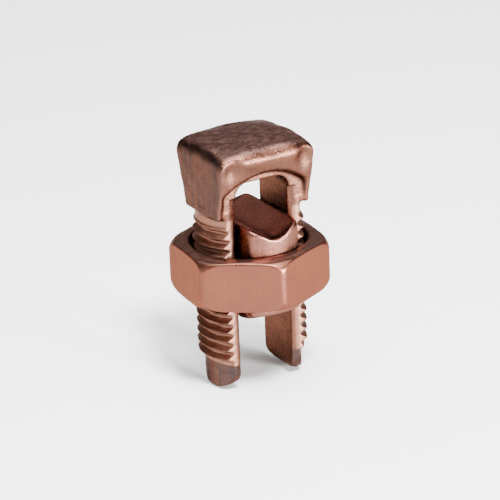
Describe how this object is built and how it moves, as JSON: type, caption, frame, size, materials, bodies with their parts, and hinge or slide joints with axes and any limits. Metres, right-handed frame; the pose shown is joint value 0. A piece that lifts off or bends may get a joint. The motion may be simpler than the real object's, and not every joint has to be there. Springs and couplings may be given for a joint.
{
  "type": "split bolt connector",
  "caption": "Copper split bolt wire connector: a forged slotted bolt with a hex nut and a swivelling pressure bar that clamps conductors under the head.",
  "frame": {"origin": "centre of the bottom of the bounding box, on the bolt axis at the leg tips", "axes": "+Z along the bolt axis from the leg tips to the head, Y along the conductors through the slot, X across the two legs"},
  "size_m": [0.0212, 0.0228, 0.0368],
  "materials": {
    "bolt_copper": "forged copper alloy, brown oxide, threads bright on their crests",
    "nut_copper": "satin pink copper alloy",
    "bar_copper": "satin copper alloy, darker on top"
  },
  "bodies": {
    "bolt": {"split_bolt": "bolt_copper"},
    "bar": {"pressure_bar": "bar_copper"},
    "nut": {"nut": "nut_copper"}
  },
  "joints": [
    {"name": "bar_slide", "type": "slide", "parent": "bolt", "child": "bar", "axis": [0, 0, 1], "range_m": [-0.0132, 0.0043]},
    {"name": "nut_turn", "type": "hinge", "parent": "bar", "child": "nut", "pos_m": [0, 0, 0.0172], "axis": [0, 0, 1], "range_deg": [-3366, 1096]}
  ],
  "couplings": [
    {"joint": "bar_slide", "follows": "nut_turn", "m_per_rad": 0.00022457}
  ]
}
